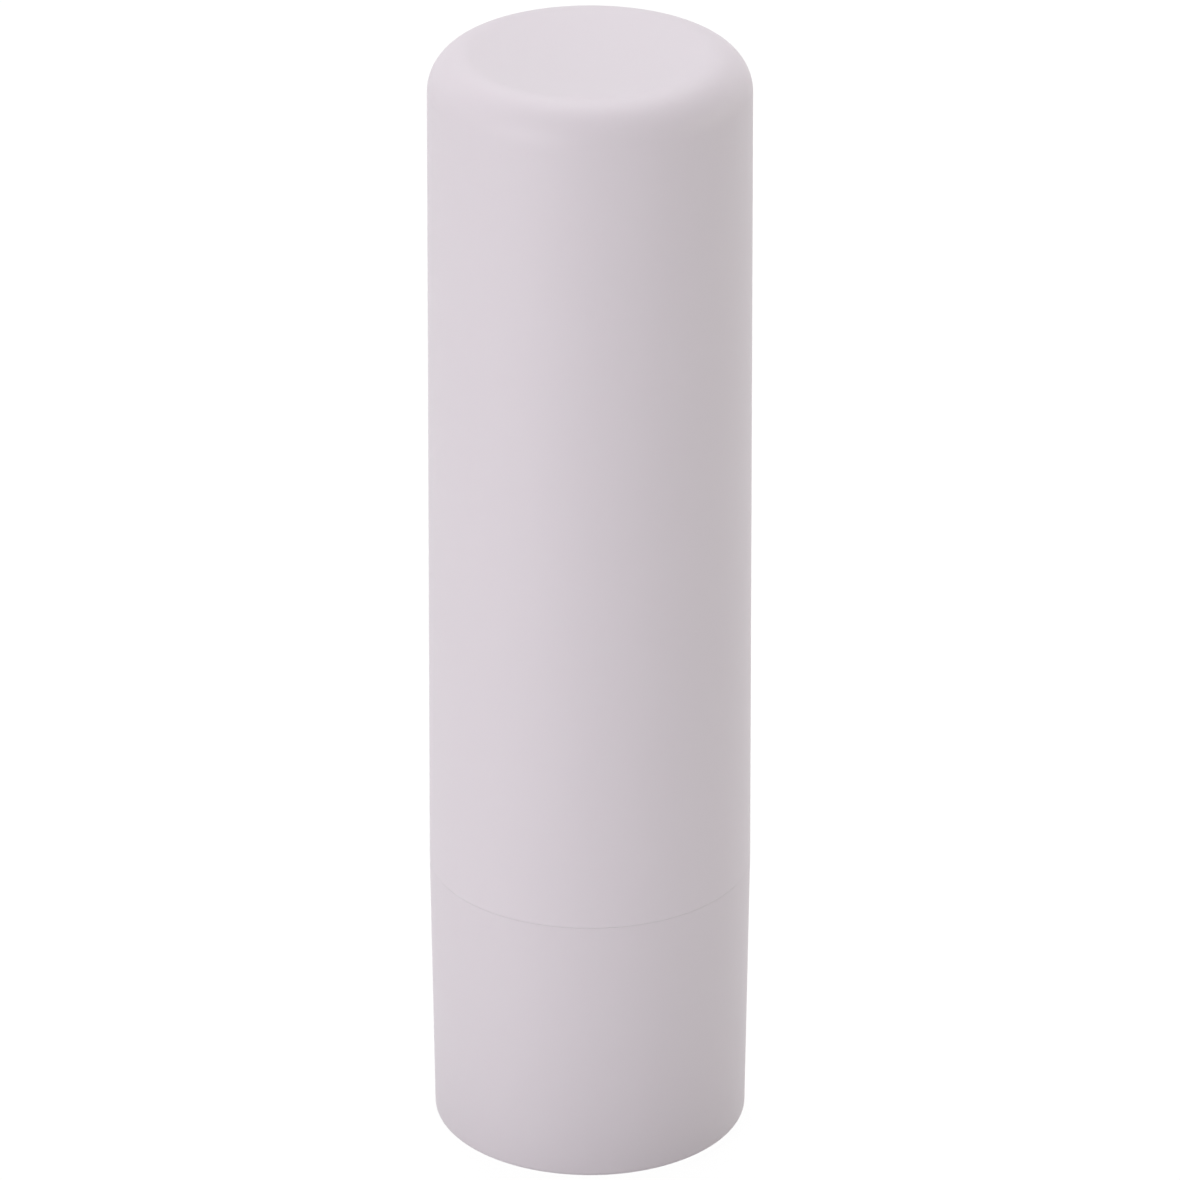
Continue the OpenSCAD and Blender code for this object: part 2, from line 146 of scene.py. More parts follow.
class StickInnerSizes(bpy.types.PropertyGroup):
    """Sizes of the tube and the balm."""

    rim_wall: length("Rim wall", "Wall of the tube at its rim", 0.75)
    rim_radius: length("Rim radius", "Rounding of the tube's rim", 0.3)
    cap_gap: length("Cap space", "Space between the tube and the cap's wall", 0.55)
    collar_thickness: length("Collar", "Thickness of the tube's collar", 1.7)
    skirt_wall: length("Skirt wall", "Wall of the skirt in the base", 0.85)
    barb_stand: length("Barb", "How far the barb stands off the skirt", 0.3)
    barb_height: length("Barb height", "Height of the barb", 1.1)
    skirt_lead: length("Skirt lead", "Height of the slope under the barb", 0.6)
    bead_inset: length("Bead inset", "From the cap's mouth to the middle of the bead", 3.9)
    bead_stand: length("Bead", "How far the bead stands off the tube", 0.22)
    bead_foot: length("Bead foot", "Height of the bead where it leaves the tube", 1.1)
    bead_crest: length("Bead crest", "Height of the bead's flat crest", 0.3)
    guide_rib_height: length("Guide rib height", "How far a guide rib stands into the bore", 0.45)
    guide_rib_width: length("Guide rib width", "Width of a guide rib", 0.9)
    guide_rib_inset: length("Guide rib inset", "From the tube's rim to the guide ribs", 2)
    guide_rib_start: length("Guide rib start", "Lower end of the guide ribs over the floor", 9.2)
    guide_rib_count: IntProperty(
        name="Guide ribs", description="Number of guide ribs in the tube", default=4, min=2, max=8)
    edge_radius: length("Edges", "Rounding of the moulded edges", 0.2)
    running_gap: length("Running gap", "Clearance between the tube and the base", 0.1)
    end_play: length("End play", "Play along the axis between the base and the tube", 0.05)
    cup_wall: length("Cup wall", "Wall of the carrier's cup", 0.95)
    hub_diameter: length("Hub", "Diameter of the carrier's hub", 7.6)
    hub_inset: length("Hub inset", "From the cup's edge down to the hub's end", 0.9)
    web_height: length("Web height", "Height of a web over the cup's floor", 3.6)
    web_width: length("Web width", "Thickness of a web", 0.8)
    wax_bore: length("Wax bore", "Diameter of the balm's bore for the screw", 5.64)
    wax_roof: length("Wax roof", "Balm between its bore and its tip", 2.6)
    wax_gap: length("Wax gap", "Clearance between the balm and the tube", 0.05)
    wax_sink: length("Wax sink", "How far the poured wax has sunk in the middle of the tip", 0.12)
    sink_reach: share("Sink reach", "Part of the tip's radius that has sunk", 0.7)
    dome_height: length("Dome height", "Height of the balm's domed tip", 2.4)
    dome_edge: length("Dome edge", "Rounding round the domed tip", 0.5)


class StickFinish(bpy.types.PropertyGroup):
    """Colours and finishes."""

    outer_colour: colour("Outer colour", "Lilac-white plastic of the cap", (0.757, 0.695, 0.746))
    base_tone: share("Base tone", "Colour of the base as a share of the cap's, a shade deeper", 0.985)
    outer_roughness: share("Outer roughness", "Roughness of the satin outer plastic", 0.5)
    inner_colour: colour("Inner colour", "Natural white plastic inside", (0.81, 0.785, 0.775))
    inner_roughness: share("Inner roughness", "Roughness of the inner plastic", 0.38)
    balm_colour: colour("Balm colour", "Ivory wax", (0.84, 0.75, 0.54))
    balm_roughness: share("Balm roughness", "Roughness of the wax", 0.33)


class StickStudio(bpy.types.PropertyGroup):
    """Camera, lamps and floor."""

    elevation: FloatProperty(
        name="Elevation", description="Height of the camera's view over the horizon",
        default=math.radians(25.5), unit="ROTATION", subtype="ANGLE")
    camera_distance: length("Camera distance", "From the camera to the middle of the stick", 447.4)
    focal_length: FloatProperty(
        name="Focal length", description="Focal length of the lens in millimetres on a 36 mm sensor",
        default=232.7, min=1, unit="CAMERA")
    frame_shift: share("Frame shift", "Shift of the camera's frame, as a share of its width", 0.00254)
    lamp_distance: length("Lamp distance", "From the lamps to the middle of the stick", 700)
    key_power: power("Key lamp", "Low soft box in front, to the left", 2.22)
    right_power: power("Right lamp", "Low strip on the right", 0.82)
    back_power: power("Back lamp", "Soft box behind the stick", 0.18)
    high_back_power: power("High back lamp", "Soft box high behind the stick", 1.93)
    right_colour: colour("Right lamp colour", "Faintly warm light from the right", (1, 0.99, 0.87))
    ambient: share("Ambient", "Strength of the white room", 0.48)
    floor_white: share("Floor white", "Brightness of the unlit floor to the camera", 0.92)
    floor_shadow: share("Floor shadow", "How much of the light on the floor the camera sees", 0.12)
    floor_bounce: share("Floor bounce", "How much light the open floor sends back", 0.7)
    near_bounce: share("Near bounce", "How much light the floor close to the stick sends back", 0.45)
    near_floor: length("Near floor", "Radius within which the floor is darkest", 10)
    open_floor: length("Open floor", "Radius beyond which the floor is brightest", 25)
    floor_gap: length("Floor gap", "Hair of space between the foot and the floor", 0.02)


# Outlines

def arc(centre, radius, start, end, steps):
    """Points (radius from the axis, height) on an arc.
    Angles are in degrees, from +radius towards +height."""
    turns = [math.radians(start + (end - start) * i / steps) for i in range(steps + 1)]
    return [(centre[0] + radius * math.cos(t), centre[1] + radius * math.sin(t)) for t in turns]


def rounded(corners, steps=6):
    """A closed outline from corners (radius, height, rounding)."""
    outline = []
    for i, corner in enumerate(corners):
        here = Vector(corner[:2])
        if not corner[2]:
            outline.append(tuple(here))
            continue
        before = (Vector(corners[i - 1][:2]) - here).normalized()
        after = (Vector(corners[(i + 1) % len(corners)][:2]) - here).normalized()
        half = before.angle(after) / 2
        centre = here + (before + after).normalized() * corner[2] / math.sin(half)
        first = here + before * corner[2] / math.tan(half) - centre
        last = here + after * corner[2] / math.tan(half) - centre
        start = math.degrees(math.atan2(first.y, first.x))
        end = math.degrees(math.atan2(last.y, last.x))
        turn = (end - start + 180) % 360 - 180
        outline.extend(arc(centre, corner[2], start, start + turn, steps))
    return outline


def eased(outline, closed, margin=0.1 * MM, longest=3 * MM):
    """The outline with more points on its long stretches, so that shading stays flat beside a rounding."""
    points = []
    count = len(outline) if closed else len(outline) - 1
    for i in range(count):
        a = Vector(outline[i][:2])
        b = Vector(outline[(i + 1) % len(outline)][:2])
        span = (b - a).length
        stops = [0]
        if span > 4 * margin:
            inner = max(1, math.ceil((span - 2 * margin) / longest))
            stops += [(margin + (span - 2 * margin) * k / inner) / span for k in range(inner + 1)]
        points.extend(tuple(a.lerp(b, s)) for s in stops)
    if not closed:
        points.append(tuple(outline[-1][:2]))
    return points


# Turned meshes

class Ribs:
    """Ribs or grooves, evenly set round the axis, on the rings between two radii. Widths take turns.
    shift(which, r, z) gives how far a point on the rib of that width moves."""

    SLOPE = 0.02 * MM
    POINTS = 5

    def __init__(self, count, widths, first, inner, outer, shift):
        self.count = count * len(widths)
        self.widths = widths
        self.first = first
        self.inner = inner
        self.outer = outer
        self.shift = shift

    def ring(self, radius, steps):
        """(angle, which rib) round a ring: each rib's foot, edge, middle, edge and foot, then plain steps.
        A ring without ribs has as many points, all evenly set."""
        pitch = 2 * math.pi / self.count
        plain = round(steps / self.count)
        if not self.inner <= radius <= self.outer:
            total = self.count * (plain + self.POINTS)
            return [(self.first + 2 * math.pi * (i - 2) / total, None) for i in range(total)]
        found = []
        for k in range(self.count):
            middle = self.first + pitch * k
            which = k % len(self.widths)
            reach = self.widths[which] / 2
            edge = math.asin(reach / radius)
            foot = math.asin((reach + self.SLOPE) / radius)
            following = self.widths[(which + 1) % len(self.widths)]
            next_foot = math.asin((following / 2 + self.SLOPE) / radius)
            found += [(middle - foot, None), (middle - edge, which), (middle, which)]
            found += [(middle + edge, which), (middle + foot, None)]
            step = (pitch - foot - next_foot) / (plain + 1)
            found += [(middle + foot + step * (j + 1), None) for j in range(plain)]
        return found


def turned_mesh(name, outline, ribs, steps=144, six_sided=lambda r, z: False):
    """A closed mesh turned round the axis. An open outline starts and ends on the axis."""
    mesh = bmesh.new()
    rings = []
    for r, z in outline:
        if r < ONE_POINT:
            rings.append([mesh.verts.new((0, 0, z))])
            continue
        ring = []
        for angle, which in ribs.ring(r, steps):
            dr, dz = (0, 0) if which is None else ribs.shift(which, r, z)
            reach = r + dr
            if six_sided(r, z):
                reach /= math.cos(angle % (math.pi / 3) - math.pi / 6)
            ring.append(mesh.verts.new((reach * math.cos(angle), reach * math.sin(angle), z + dz)))
        rings.append(ring)
    open_ended = len(rings[0]) == 1
    pairs = list(zip(rings, rings[1:]))
    if not open_ended:
        pairs.append((rings[-1], rings[0]))
    for low, high in pairs:
        join_rings(mesh, low, high)
    bmesh.ops.remove_doubles(mesh, verts=mesh.verts, dist=ONE_POINT)
    bmesh.ops.recalc_face_normals(mesh, faces=mesh.faces)
    return finished_mesh(name, mesh)


def join_rings(mesh, low, high):
    """Faces between two rings, or between a ring and a point on the axis."""
    count = max(len(low), len(high))
    for k in range(count):
        after = (k + 1) % count
        if len(low) == 1:
            mesh.faces.new((low[0], high[k], high[after]))
        elif len(high) == 1:
            mesh.faces.new((low[k], high[0], low[after]))
        else:
            mesh.faces.new((low[k], high[k], high[after], low[after]))


def finished_mesh(name, mesh, crease=math.radians(32)):
    """The bmesh as an object, shaded smooth but for its creases."""
    for face in mesh.faces:
        face.smooth = True
    for edge in mesh.edges:
        if edge.is_manifold and edge.calc_face_angle(0) > crease:
            edge.smooth = False
    data = bpy.data.meshes.new(name)
    mesh.to_mesh(data)
    mesh.free()
    piece = bpy.data.objects.new(name, data)
    bpy.context.collection.objects.link(piece)
    return piece


def stand_in(piece, node, body, material):
    """The piece takes the place of a node of the frame and rides on its body."""
    piece.data.materials.append(material)
    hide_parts(node)
    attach(piece, body)


def dress(node, material):
    """A node of the frame keeps its shape and gets the material."""
    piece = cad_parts[node]
    piece.data.materials.clear()
    piece.data.materials.append(material)


def direction(azimuth, elevation):
    """Unit vector from the stick towards a place. Azimuth 0 is the front, and grows to the right."""
    flat = math.cos(elevation)
    return Vector((math.sin(azimuth) * flat, -math.cos(azimuth) * flat, math.sin(elevation)))


# Sizes that more than one piece takes

class Profile:
    """Radii of the closed stick's walls by height, and the levels that its pieces share."""

    def __init__(self, outer, inner):
        low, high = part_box("cap")
        self.mouth_z = low.z
        self.top_z = high.z
        self.seam_r = high.x
        self.rounding_z = high.z - outer.cap_end_radius
        self.cap_slope = (high.x - outer.cap_end_diameter / 2) / (self.rounding_z - low.z)
        self.foot_r = outer.foot_diameter / 2
        self.base_slope = (high.x - self.foot_r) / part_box("turning_base")[1].z
        self.base_top = low.z - outer.seam_line
        self.floor_z = outer.foot_recess + outer.base_floor
        self.cap_wall = outer.cap_wall
        self.base_wall = outer.base_wall
        self.cap_gap = inner.cap_gap
        self.rim_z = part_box("tube")[1].z
        self.bore_r = self.tube_r(self.rim_z) - inner.rim_wall
        self.skirt_r = self.bore_r + inner.skirt_wall
        self.collar_z = self.mouth_z - inner.collar_thickness

    def cap_r(self, z):
        """Outside of the cap."""
        return self.seam_r - self.cap_slope * (z - self.mouth_z)

    def cap_inner_r(self, z):
        """Inside of the cap."""
        return self.cap_r(z) - self.cap_wall

    def tube_r(self, z):
        """Outside of the tube."""
        return self.cap_inner_r(z) - self.cap_gap

    def base_r(self, z):
        """Outside of the turning base."""
        return self.foot_r + self.base_slope * z

    def base_inner_r(self, z):
        """Inside of the turning base."""
        return self.base_r(z) - self.base_wall


# Materials

# Of the change in the skin's tone, the part that is cloudy and not streaked by the flow
CLOUD_SHARE = 0.7
# What a rub mark adds to the roughness, and takes off the relief
MARK_DULLNESS = 0.12
MARK_DEPTH = 0.4
PLASTIC_IOR = 1.49
PLASTIC_SCATTER = (1.0, 0.9, 0.95)
PLASTIC_SCATTER_REACH = 0.15 * MM
# How much paler the wax's mottling is, what its bloom adds to the roughness, and its relief
MOTTLE_TONE = 0.12
BLOOM_DULLNESS = 0.16
MOTTLE_HEIGHT = 0.8
PIT_DEPTH = 0.012 * MM
WAX_IOR = 1.44
WAX_THROUGH = 0.6
WAX_SCATTER = (1.0, 0.7, 0.4)
WAX_SCATTER_REACH = 1.6 * MM
# The grain, rub marks and light through each plastic
OUTER_SKIN = {"grain_size": 0.18 * MM, "grain_depth": 0.0016 * MM, "marks": 0.5, "through": 0.3}
INNER_SKIN = {"grain_size": 0.12 * MM, "grain_depth": 0.0012 * MM, "marks": 0.8, "through": 0.25}
SCREW_SKIN = {"grain_size": 0.10 * MM, "grain_depth": 0.0014 * MM, "marks": 0.9, "through": 0.2}


def node_of(tree, kind, **values):
    """A new node, with the values of its settings and of its inputs by name."""
    made = tree.nodes.new(kind)
    for key, value in values.items():
        if key in made.inputs:
            made.inputs[key].default_value = value
        else:
            setattr(made, key, value)
    return made


def new_group(name, inputs, outputs):
    """An empty shader node group with named sockets, and its two end nodes."""
    group = bpy.data.node_groups.new(name, "ShaderNodeTree")
    for label, kind, default in inputs:
        socket = group.interface.new_socket(name=label, in_out="INPUT", socket_type=kind)
        socket.default_value = default
    for label, kind in outputs:
        group.interface.new_socket(name=label, in_out="OUTPUT", socket_type=kind)
    return group, group.nodes.new("NodeGroupInput"), group.nodes.new("NodeGroupOutput")


def arithmetic(tree, operation, first, second):
    """A math node whose operands are sockets or numbers."""
    made = tree.nodes.new("ShaderNodeMath")
    made.operation = operation
    for socket, value in zip(made.inputs, (first, second)):
        if isinstance(value, bpy.types.NodeSocket):
            tree.links.new(value, socket)
        else:
            socket.default_value = value
    return made.outputs[0]


def seen_directly(tree):
    """1 for what the camera sees, in a reflection or through clear plastic too, and 0 for light."""
    path = tree.nodes.new("ShaderNodeLightPath").outputs
    by_plastic = arithmetic(tree, "MAXIMUM", path["Is Glossy Ray"], path["Is Transmission Ray"])
    return arithmetic(tree, "MAXIMUM", path["Is Camera Ray"], by_plastic)


def noise(tree, coordinates, scale, detail=2.0, stretch=(1, 1, 1), roughness=0.5):
    """The value of a noise texture over the object. Its scale is in features to the metre, and an
    axis with a stretch under 1 has longer features."""
    mapping = node_of(tree, "ShaderNodeMapping", Scale=stretch)
    tree.links.new(coordinates, mapping.inputs["Vector"])
    made = node_of(tree, "ShaderNodeTexNoise", Detail=detail, Roughness=roughness)
    tree.links.new(mapping.outputs[0], made.inputs["Vector"])
    if isinstance(scale, bpy.types.NodeSocket):
        tree.links.new(scale, made.inputs["Scale"])
    else:
        made.inputs["Scale"].default_value = scale
    return made.outputs[0]


def ramp(tree, value, low, high):
    """0 under low, 1 over high, and smooth between. With low over high it falls instead."""
    made = node_of(tree, "ShaderNodeMapRange", interpolation_type="SMOOTHSTEP")
    made.inputs["From Min"].default_value = low
    made.inputs["From Max"].default_value = high
    tree.links.new(value, made.inputs["Value"])
    return made.outputs["Result"]


def blend(tree, factor, first, second):
    """A colour between two colours."""
    made = node_of(tree, "ShaderNodeMix", data_type="RGBA")
    sockets = {socket.identifier: socket for socket in [*made.inputs, *made.outputs]}
    tree.links.new(factor, sockets["Factor_Float"])
    sockets["A_Color"].default_value = (*first, 1)
    sockets["B_Color"].default_value = (*second, 1)
    return sockets["Result_Color"]


def moulded_skin():
    """Group: the tone, roughness and fine texture of an injection-moulded surface."""
    name = "moulded_skin"
    if name in bpy.data.node_groups:
        return bpy.data.node_groups[name]
    group, given, result = new_group(
        name,
        [("Colour", "NodeSocketColor", (0.8, 0.8, 0.8, 1)),
         ("Tone Shift", "NodeSocketFloat", 0.02),
         ("Roughness", "NodeSocketFloat", 0.4),
         ("Roughness Shift", "NodeSocketFloat", 0.05),
         ("Grain Size", "NodeSocketFloat", 0.0002)],
        [("Colour", "NodeSocketColor"), ("Roughness", "NodeSocketFloat"), ("Height", "NodeSocketFloat")])
    place = group.nodes.new("ShaderNodeTexCoord").outputs["Object"]
    cloud = noise(group, place, scale=140, detail=3)
    flow = noise(group, place, scale=420, detail=3, stretch=(1, 1, 0.12))
    per_grain = arithmetic(group, "DIVIDE", 1.0, given.outputs["Grain Size"])
    grain = noise(group, place, scale=per_grain, detail=2)
    mixed = arithmetic(group, "ADD", arithmetic(group, "MULTIPLY", cloud, CLOUD_SHARE),
                       arithmetic(group, "MULTIPLY", flow, 1 - CLOUD_SHARE))
    centred = arithmetic(group, "SUBTRACT", mixed, 0.5)
    change = arithmetic(group, "MULTIPLY", centred, given.outputs["Tone Shift"])
    tone = arithmetic(group, "ADD", change, 1.0)
    scaled = node_of(group, "ShaderNodeVectorMath", operation="SCALE")
    group.links.new(given.outputs["Colour"], scaled.inputs[0])
    group.links.new(tone, scaled.inputs["Scale"])
    group.links.new(scaled.outputs[0], result.inputs["Colour"])
    rough = arithmetic(group, "MULTIPLY", arithmetic(group, "SUBTRACT", flow, 0.5),
                       given.outputs["Roughness Shift"])
    group.links.new(arithmetic(group, "ADD", rough, given.outputs["Roughness"]), result.inputs["Roughness"])
    group.links.new(grain, result.inputs["Height"])
    return group


def handling_marks():
    """Group: hair-fine rub marks in patches, as a mask."""
    name = "handling_marks"
    if name in bpy.data.node_groups:
        return bpy.data.node_groups[name]
    group, given, result = new_group(
        name, [("Amount", "NodeSocketFloat", 0.3)], [("Mask", "NodeSocketFloat")])
    place = group.nodes.new("ShaderNodeTexCoord").outputs["Object"]
    along = noise(group, place, scale=2600, detail=2, stretch=(1, 1, 0.04))
    across = noise(group, place, scale=2200, detail=2, stretch=(0.05, 0.05, 1))
    patches = noise(group, place, scale=90, detail=2)
    lines = arithmetic(group, "MAXIMUM", ramp(group, along, low=0.62, high=0.70),
                       ramp(group, across, low=0.63, high=0.72))
    shown = arithmetic(group, "MULTIPLY", lines, ramp(group, patches, low=0.5, high=0.68))
    group.links.new(arithmetic(group, "MULTIPLY", shown, given.outputs["Amount"]), result.inputs["Mask"])
    return group


def plastic(name, tint, roughness, grain_size, grain_depth, marks, through):
    """A moulded plastic: skin, rub marks and a little light through it."""
    material = bpy.data.materials.new(name)
    material.use_nodes = True
    tree = material.node_tree
    shader = tree.nodes["Principled BSDF"]
    skin = tree.nodes.new("ShaderNodeGroup")
    skin.node_tree = moulded_skin()
    skin.inputs["Colour"].default_value = (*tint, 1)
    skin.inputs["Roughness"].default_value = roughness
    skin.inputs["Grain Size"].default_value = grain_size
    rub = tree.nodes.new("ShaderNodeGroup")
    rub.node_tree = handling_marks()
    rub.inputs["Amount"].default_value = marks
    tree.links.new(skin.outputs["Colour"], shader.inputs["Base Color"])
    worn = arithmetic(tree, "ADD", skin.outputs["Roughness"],
                      arithmetic(tree, "MULTIPLY", rub.outputs["Mask"], MARK_DULLNESS))
    tree.links.new(worn, shader.inputs["Roughness"])
    relief = arithmetic(tree, "SUBTRACT", skin.outputs["Height"],
                        arithmetic(tree, "MULTIPLY", rub.outputs["Mask"], MARK_DEPTH))
    bump = node_of(tree, "ShaderNodeBump", Strength=1.0, Distance=grain_depth)
    tree.links.new(relief, bump.inputs["Height"])
    tree.links.new(bump.outputs["Normal"], shader.inputs["Normal"])
    shader.inputs["IOR"].default_value = PLASTIC_IOR
    shader.inputs["Subsurface Weight"].default_value = through
    shader.inputs["Subsurface Radius"].default_value = PLASTIC_SCATTER
    shader.inputs["Subsurface Scale"].default_value = PLASTIC_SCATTER_REACH
    return material


def wax(name, tint, roughness):
    """Cast wax: mottled ivory with a faint bloom, small pits and light through it."""
    material = bpy.data.materials.new(name)
    material.use_nodes = True
    tree = material.node_tree
    shader = tree.nodes["Principled BSDF"]
    place = tree.nodes.new("ShaderNodeTexCoord").outputs["Object"]
    mottle = noise(tree, place, scale=420, detail=4)
    bloom = noise(tree, place, scale=700, detail=3, stretch=(1, 1, 0.5))
    pits = ramp(tree, noise(tree, place, scale=3200, detail=1), low=0.30, high=0.22)
    paler = [channel + (1 - channel) * MOTTLE_TONE for channel in tint]
    shown = blend(tree, ramp(tree, mottle, low=0.35, high=0.7), tint, paler)
    tree.links.new(shown, shader.inputs["Base Color"])
    duller = arithmetic(tree, "MULTIPLY", ramp(tree, bloom, low=0.52, high=0.75), BLOOM_DULLNESS)
    tree.links.new(arithmetic(tree, "ADD", duller, roughness), shader.inputs["Roughness"])
    relief = arithmetic(tree, "SUBTRACT", arithmetic(tree, "MULTIPLY", mottle, MOTTLE_HEIGHT), pits)
    bump = node_of(tree, "ShaderNodeBump", Strength=1.0, Distance=PIT_DEPTH)
    tree.links.new(relief, bump.inputs["Height"])
    tree.links.new(bump.outputs["Normal"], shader.inputs["Normal"])
    shader.inputs["IOR"].default_value = WAX_IOR
    shader.inputs["Subsurface Weight"].default_value = WAX_THROUGH
    shader.inputs["Subsurface Radius"].default_value = WAX_SCATTER
    shader.inputs["Subsurface Scale"].default_value = WAX_SCATTER_REACH
    return material


def finish_of(kind):
    """The material of that kind, made once."""
    name = "finished_" + kind
    if name in bpy.data.materials:
        return bpy.data.materials[name]
    look = bpy.context.scene.stick_finish
    if kind == "cap_plastic":
        return plastic(name, look.outer_colour, look.outer_roughness, **OUTER_SKIN)
    if kind == "base_plastic":
        deeper = [look.base_tone * channel for channel in look.outer_colour]
        return plastic(name, deeper, look.outer_roughness, **OUTER_SKIN)
    if kind == "inner_plastic":
        return plastic(name, look.inner_colour, look.inner_roughness, **INNER_SKIN)
    if kind == "screw_plastic":
        return plastic(name, look.inner_colour, look.inner_roughness, **SCREW_SKIN)
    return wax(name, look.balm_colour, look.balm_roughness)


# Operators, one for each piece

class BALM_OT_cap(bpy.types.Operator):
    """Build the cap: a drafted wall with a dished end and grip ribs in its mouth"""

    bl_idname = "balm.cap"
    bl_label = "Cap"

    def execute(self, context):
        outer = context.scene.stick_outer
        at = Profile(outer, context.scene.stick_inner)
        mouth_z = at.mouth_z
        mouth_r = at.cap_inner_r(mouth_z)
        rib_low = mouth_z + outer.grip_rib_inset
        rib_high = rib_low + outer.grip_rib_length
        rib_stops = [rib_high, rib_high - outer.grip_rib_lead, rib_low + outer.grip_rib_lead, rib_low]
        ceiling_z = at.top_z - outer.dish_depth - outer.cap_end_thickness
        walls = rounded([
            (0, ceiling_z, 0),
            (at.cap_inner_r(ceiling_z), ceiling_z, outer.ceiling_radius),
            *[(at.cap_inner_r(z), z, 0) for z in rib_stops],
            (mouth_r, mouth_z + outer.mouth_chamfer, 0),
            (mouth_r + outer.mouth_chamfer, mouth_z, 0),
            (at.seam_r, mouth_z, outer.seam_edge / 2),
            (at.cap_r(at.rounding_z), at.rounding_z, 0)], steps=12)

        draft = math.atan(at.cap_slope)
        centre_r = at.cap_r(at.rounding_z) - outer.cap_end_radius / math.cos(draft)
        reach = (centre_r ** 2 + outer.dish_depth ** 2) / (2 * outer.dish_depth)
        dish_r = reach - outer.cap_end_radius
        dish_angle = math.degrees(math.asin(centre_r / reach))
        dish_low = at.top_z - outer.dish_depth
        end = arc((centre_r, at.rounding_z), outer.cap_end_radius, math.degrees(draft), 90 + dish_angle,
                  steps=48)
        dish = arc((0, dish_low + dish_r), dish_r, dish_angle - 90, -90, steps=24)
        outline = eased(walls, closed=False) + end[1:] + dish[1:-1] + [(0, dish_low)]

        def shift(which, r, z):
            rise = min(z - rib_low, rib_high - z) / outer.grip_rib_lead
            on_wall = r < at.cap_inner_r(z) + NEAR
            return (-outer.grip_rib_height * min(1, max(0, rise)) * on_wall, 0)

        ribs = Ribs(outer.grip_rib_count, [outer.grip_rib_width], 0,
                    at.cap_inner_r(rib_high) - NEAR, mouth_r, shift)
        piece = turned_mesh("cap_shell", outline, ribs)
        stand_in(piece, "cap", "cap", finish_of("cap_plastic"))
        return {"FINISHED"}


class BALM_OT_turning_base(bpy.types.Operator):
    """Build the turning base: a drafted wall with a recessed foot, a socket and gussets"""

    bl_idname = "balm.turning_base"
    bl_label = "Turning base"

    def execute(self, context):
        outer = context.scene.stick_outer
        inner = context.scene.stick_inner
        at = Profile(outer, inner)
        floor_z = at.floor_z
        recess_r = at.foot_r - outer.foot_ring_width
        collar_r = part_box("tube")[1].x + inner.running_gap
        collar_z = at.collar_z - inner.end_play
        snap_z = floor_z + outer.snap_height
        snap_low = snap_z - outer.snap_foot / 2
        snap_high = snap_z + outer.snap_foot / 2
        snap_r = at.skirt_r + inner.running_gap
        socket_top = floor_z + outer.socket_height
        flats = outer.shank_flats / 2
        socket_r = flats / math.cos(math.pi / 6) + outer.socket_wall
        wall_foot_r = at.base_inner_r(floor_z)
        fine = inner.edge_radius / 2
        outline = rounded([
            (0, outer.foot_recess - outer.gate_height, 0),
            (outer.gate_radius, outer.foot_recess - outer.gate_height, outer.gate_height / 3),
            (outer.gate_radius, outer.foot_recess, outer.gate_height / 4),
            (recess_r, outer.foot_recess, outer.foot_recess / 2),
            (recess_r + outer.foot_recess / 2, 0, outer.foot_recess / 4),
            (at.foot_r, 0, outer.foot_radius),
            (at.base_r(at.base_top), at.base_top, outer.seam_edge),
            (collar_r, at.base_top, outer.seam_edge),
            (collar_r, collar_z, 0),
            (at.base_inner_r(collar_z), collar_z, fine),
            (at.base_inner_r(snap_high), snap_high, 0),
            (snap_r, snap_z + outer.snap_crest / 2, 0),
            (snap_r, snap_z - outer.snap_crest / 2, 0),
            (at.base_inner_r(snap_low), snap_low, 0),
            (wall_foot_r, floor_z, outer.floor_rounding),
            (socket_r, floor_z, fine),
            (socket_r, socket_top, fine),
            (flats, socket_top, 0),
            (flats, floor_z, 0),
            (0, floor_z, 0)], steps=8)
        gusset_z = floor_z + outer.gusset_height

        def shift(which, r, z):
            return (0, gusset_z - z if floor_z - NEAR < z < gusset_z else 0)

        def in_socket(r, z):
            return abs(r - flats) < NEAR and z > floor_z - NEAR

        ribs = Ribs(outer.gusset_count, [outer.gusset_width], 0,
                    socket_r - NEAR, wall_foot_r + NEAR, shift)
        piece = turned_mesh("base_shell", eased(outline, closed=False), ribs, six_sided=in_socket)
        stand_in(piece, "turning_base", "base", finish_of("base_plastic"))
        return {"FINISHED"}


